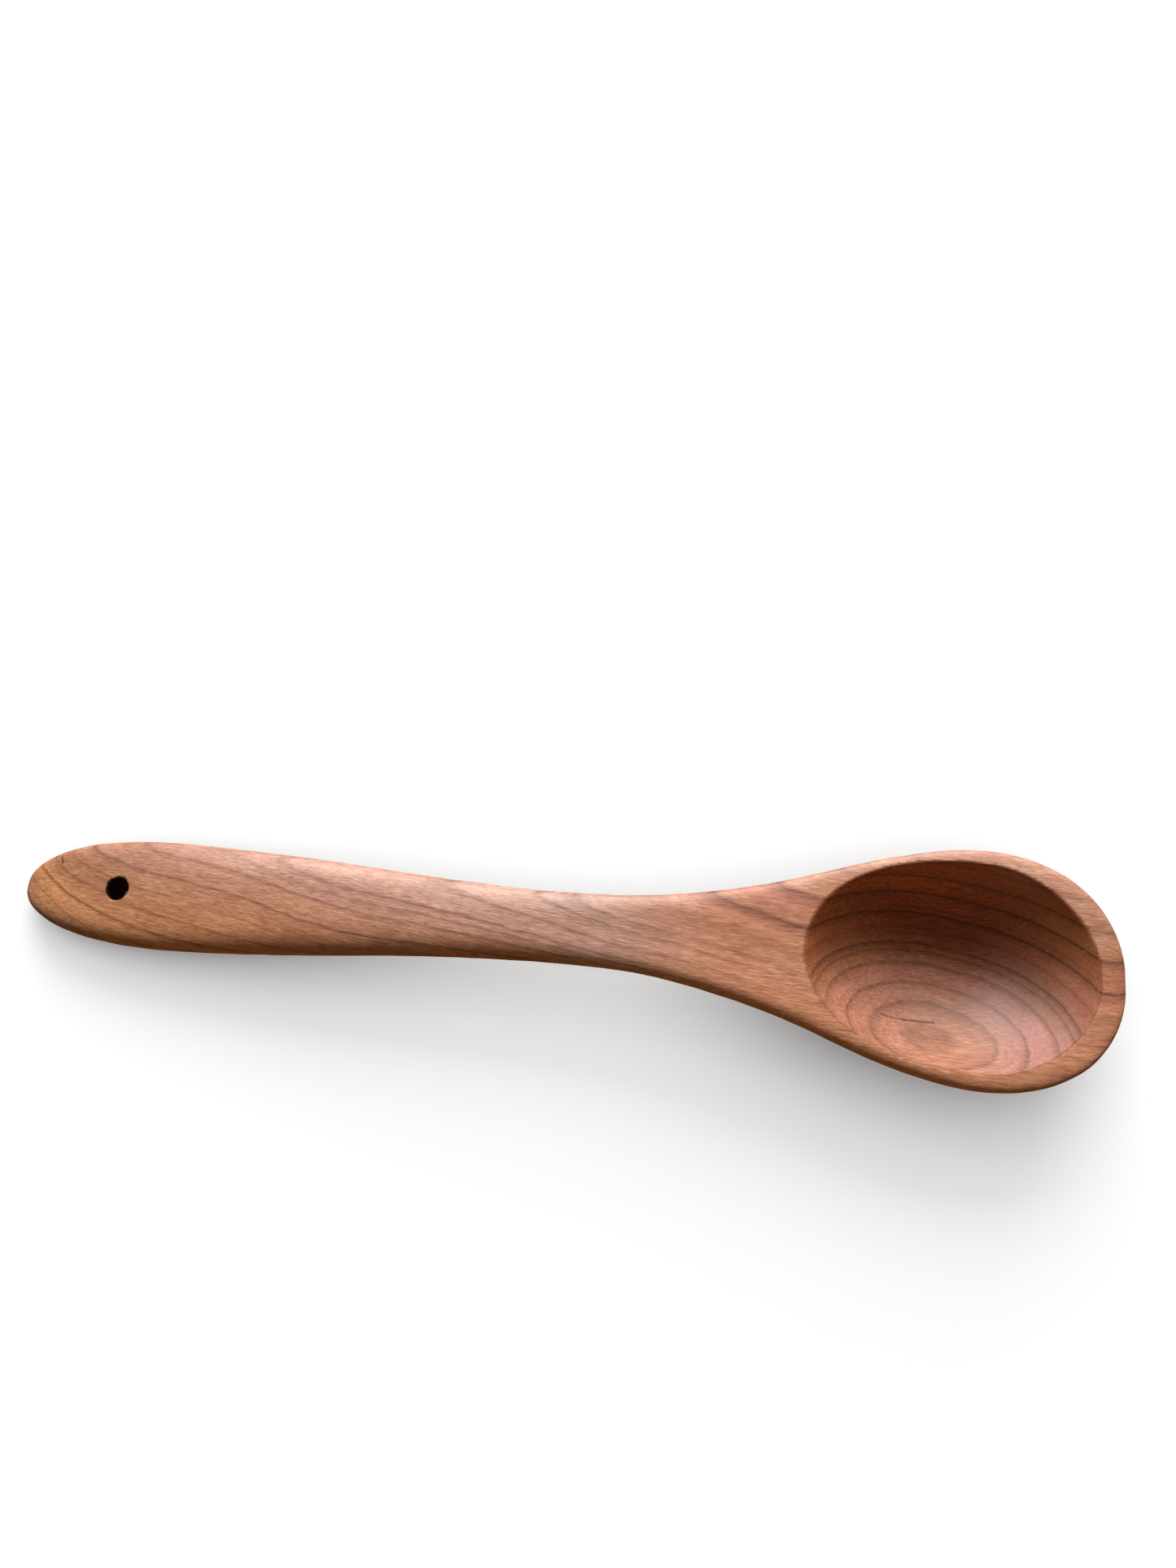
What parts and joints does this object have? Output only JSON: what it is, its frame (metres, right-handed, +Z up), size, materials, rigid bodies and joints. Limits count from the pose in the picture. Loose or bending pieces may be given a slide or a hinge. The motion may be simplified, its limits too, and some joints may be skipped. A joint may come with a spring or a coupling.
{
  "type": "wooden serving spoon",
  "caption": "Long-handled wooden spoon carved from one piece: deep egg-shaped bowl, slim neck, flattened oval handle and a drilled hanging hole.",
  "frame": {"origin": "centre of the spoon's length and width, on the surface it lies on", "axes": "+X along the spoon from the end of the handle to the front of the bowl, +Z up out of the open bowl, +Y across"},
  "size_m": [0.285, 0.06, 0.0262],
  "materials": {
    "wood": "oiled satin cherry wood, reddish brown, with fine dark growth-ring lines"
  },
  "bodies": {
    "root": {"spoon": "wood"}
  },
  "joints": []
}
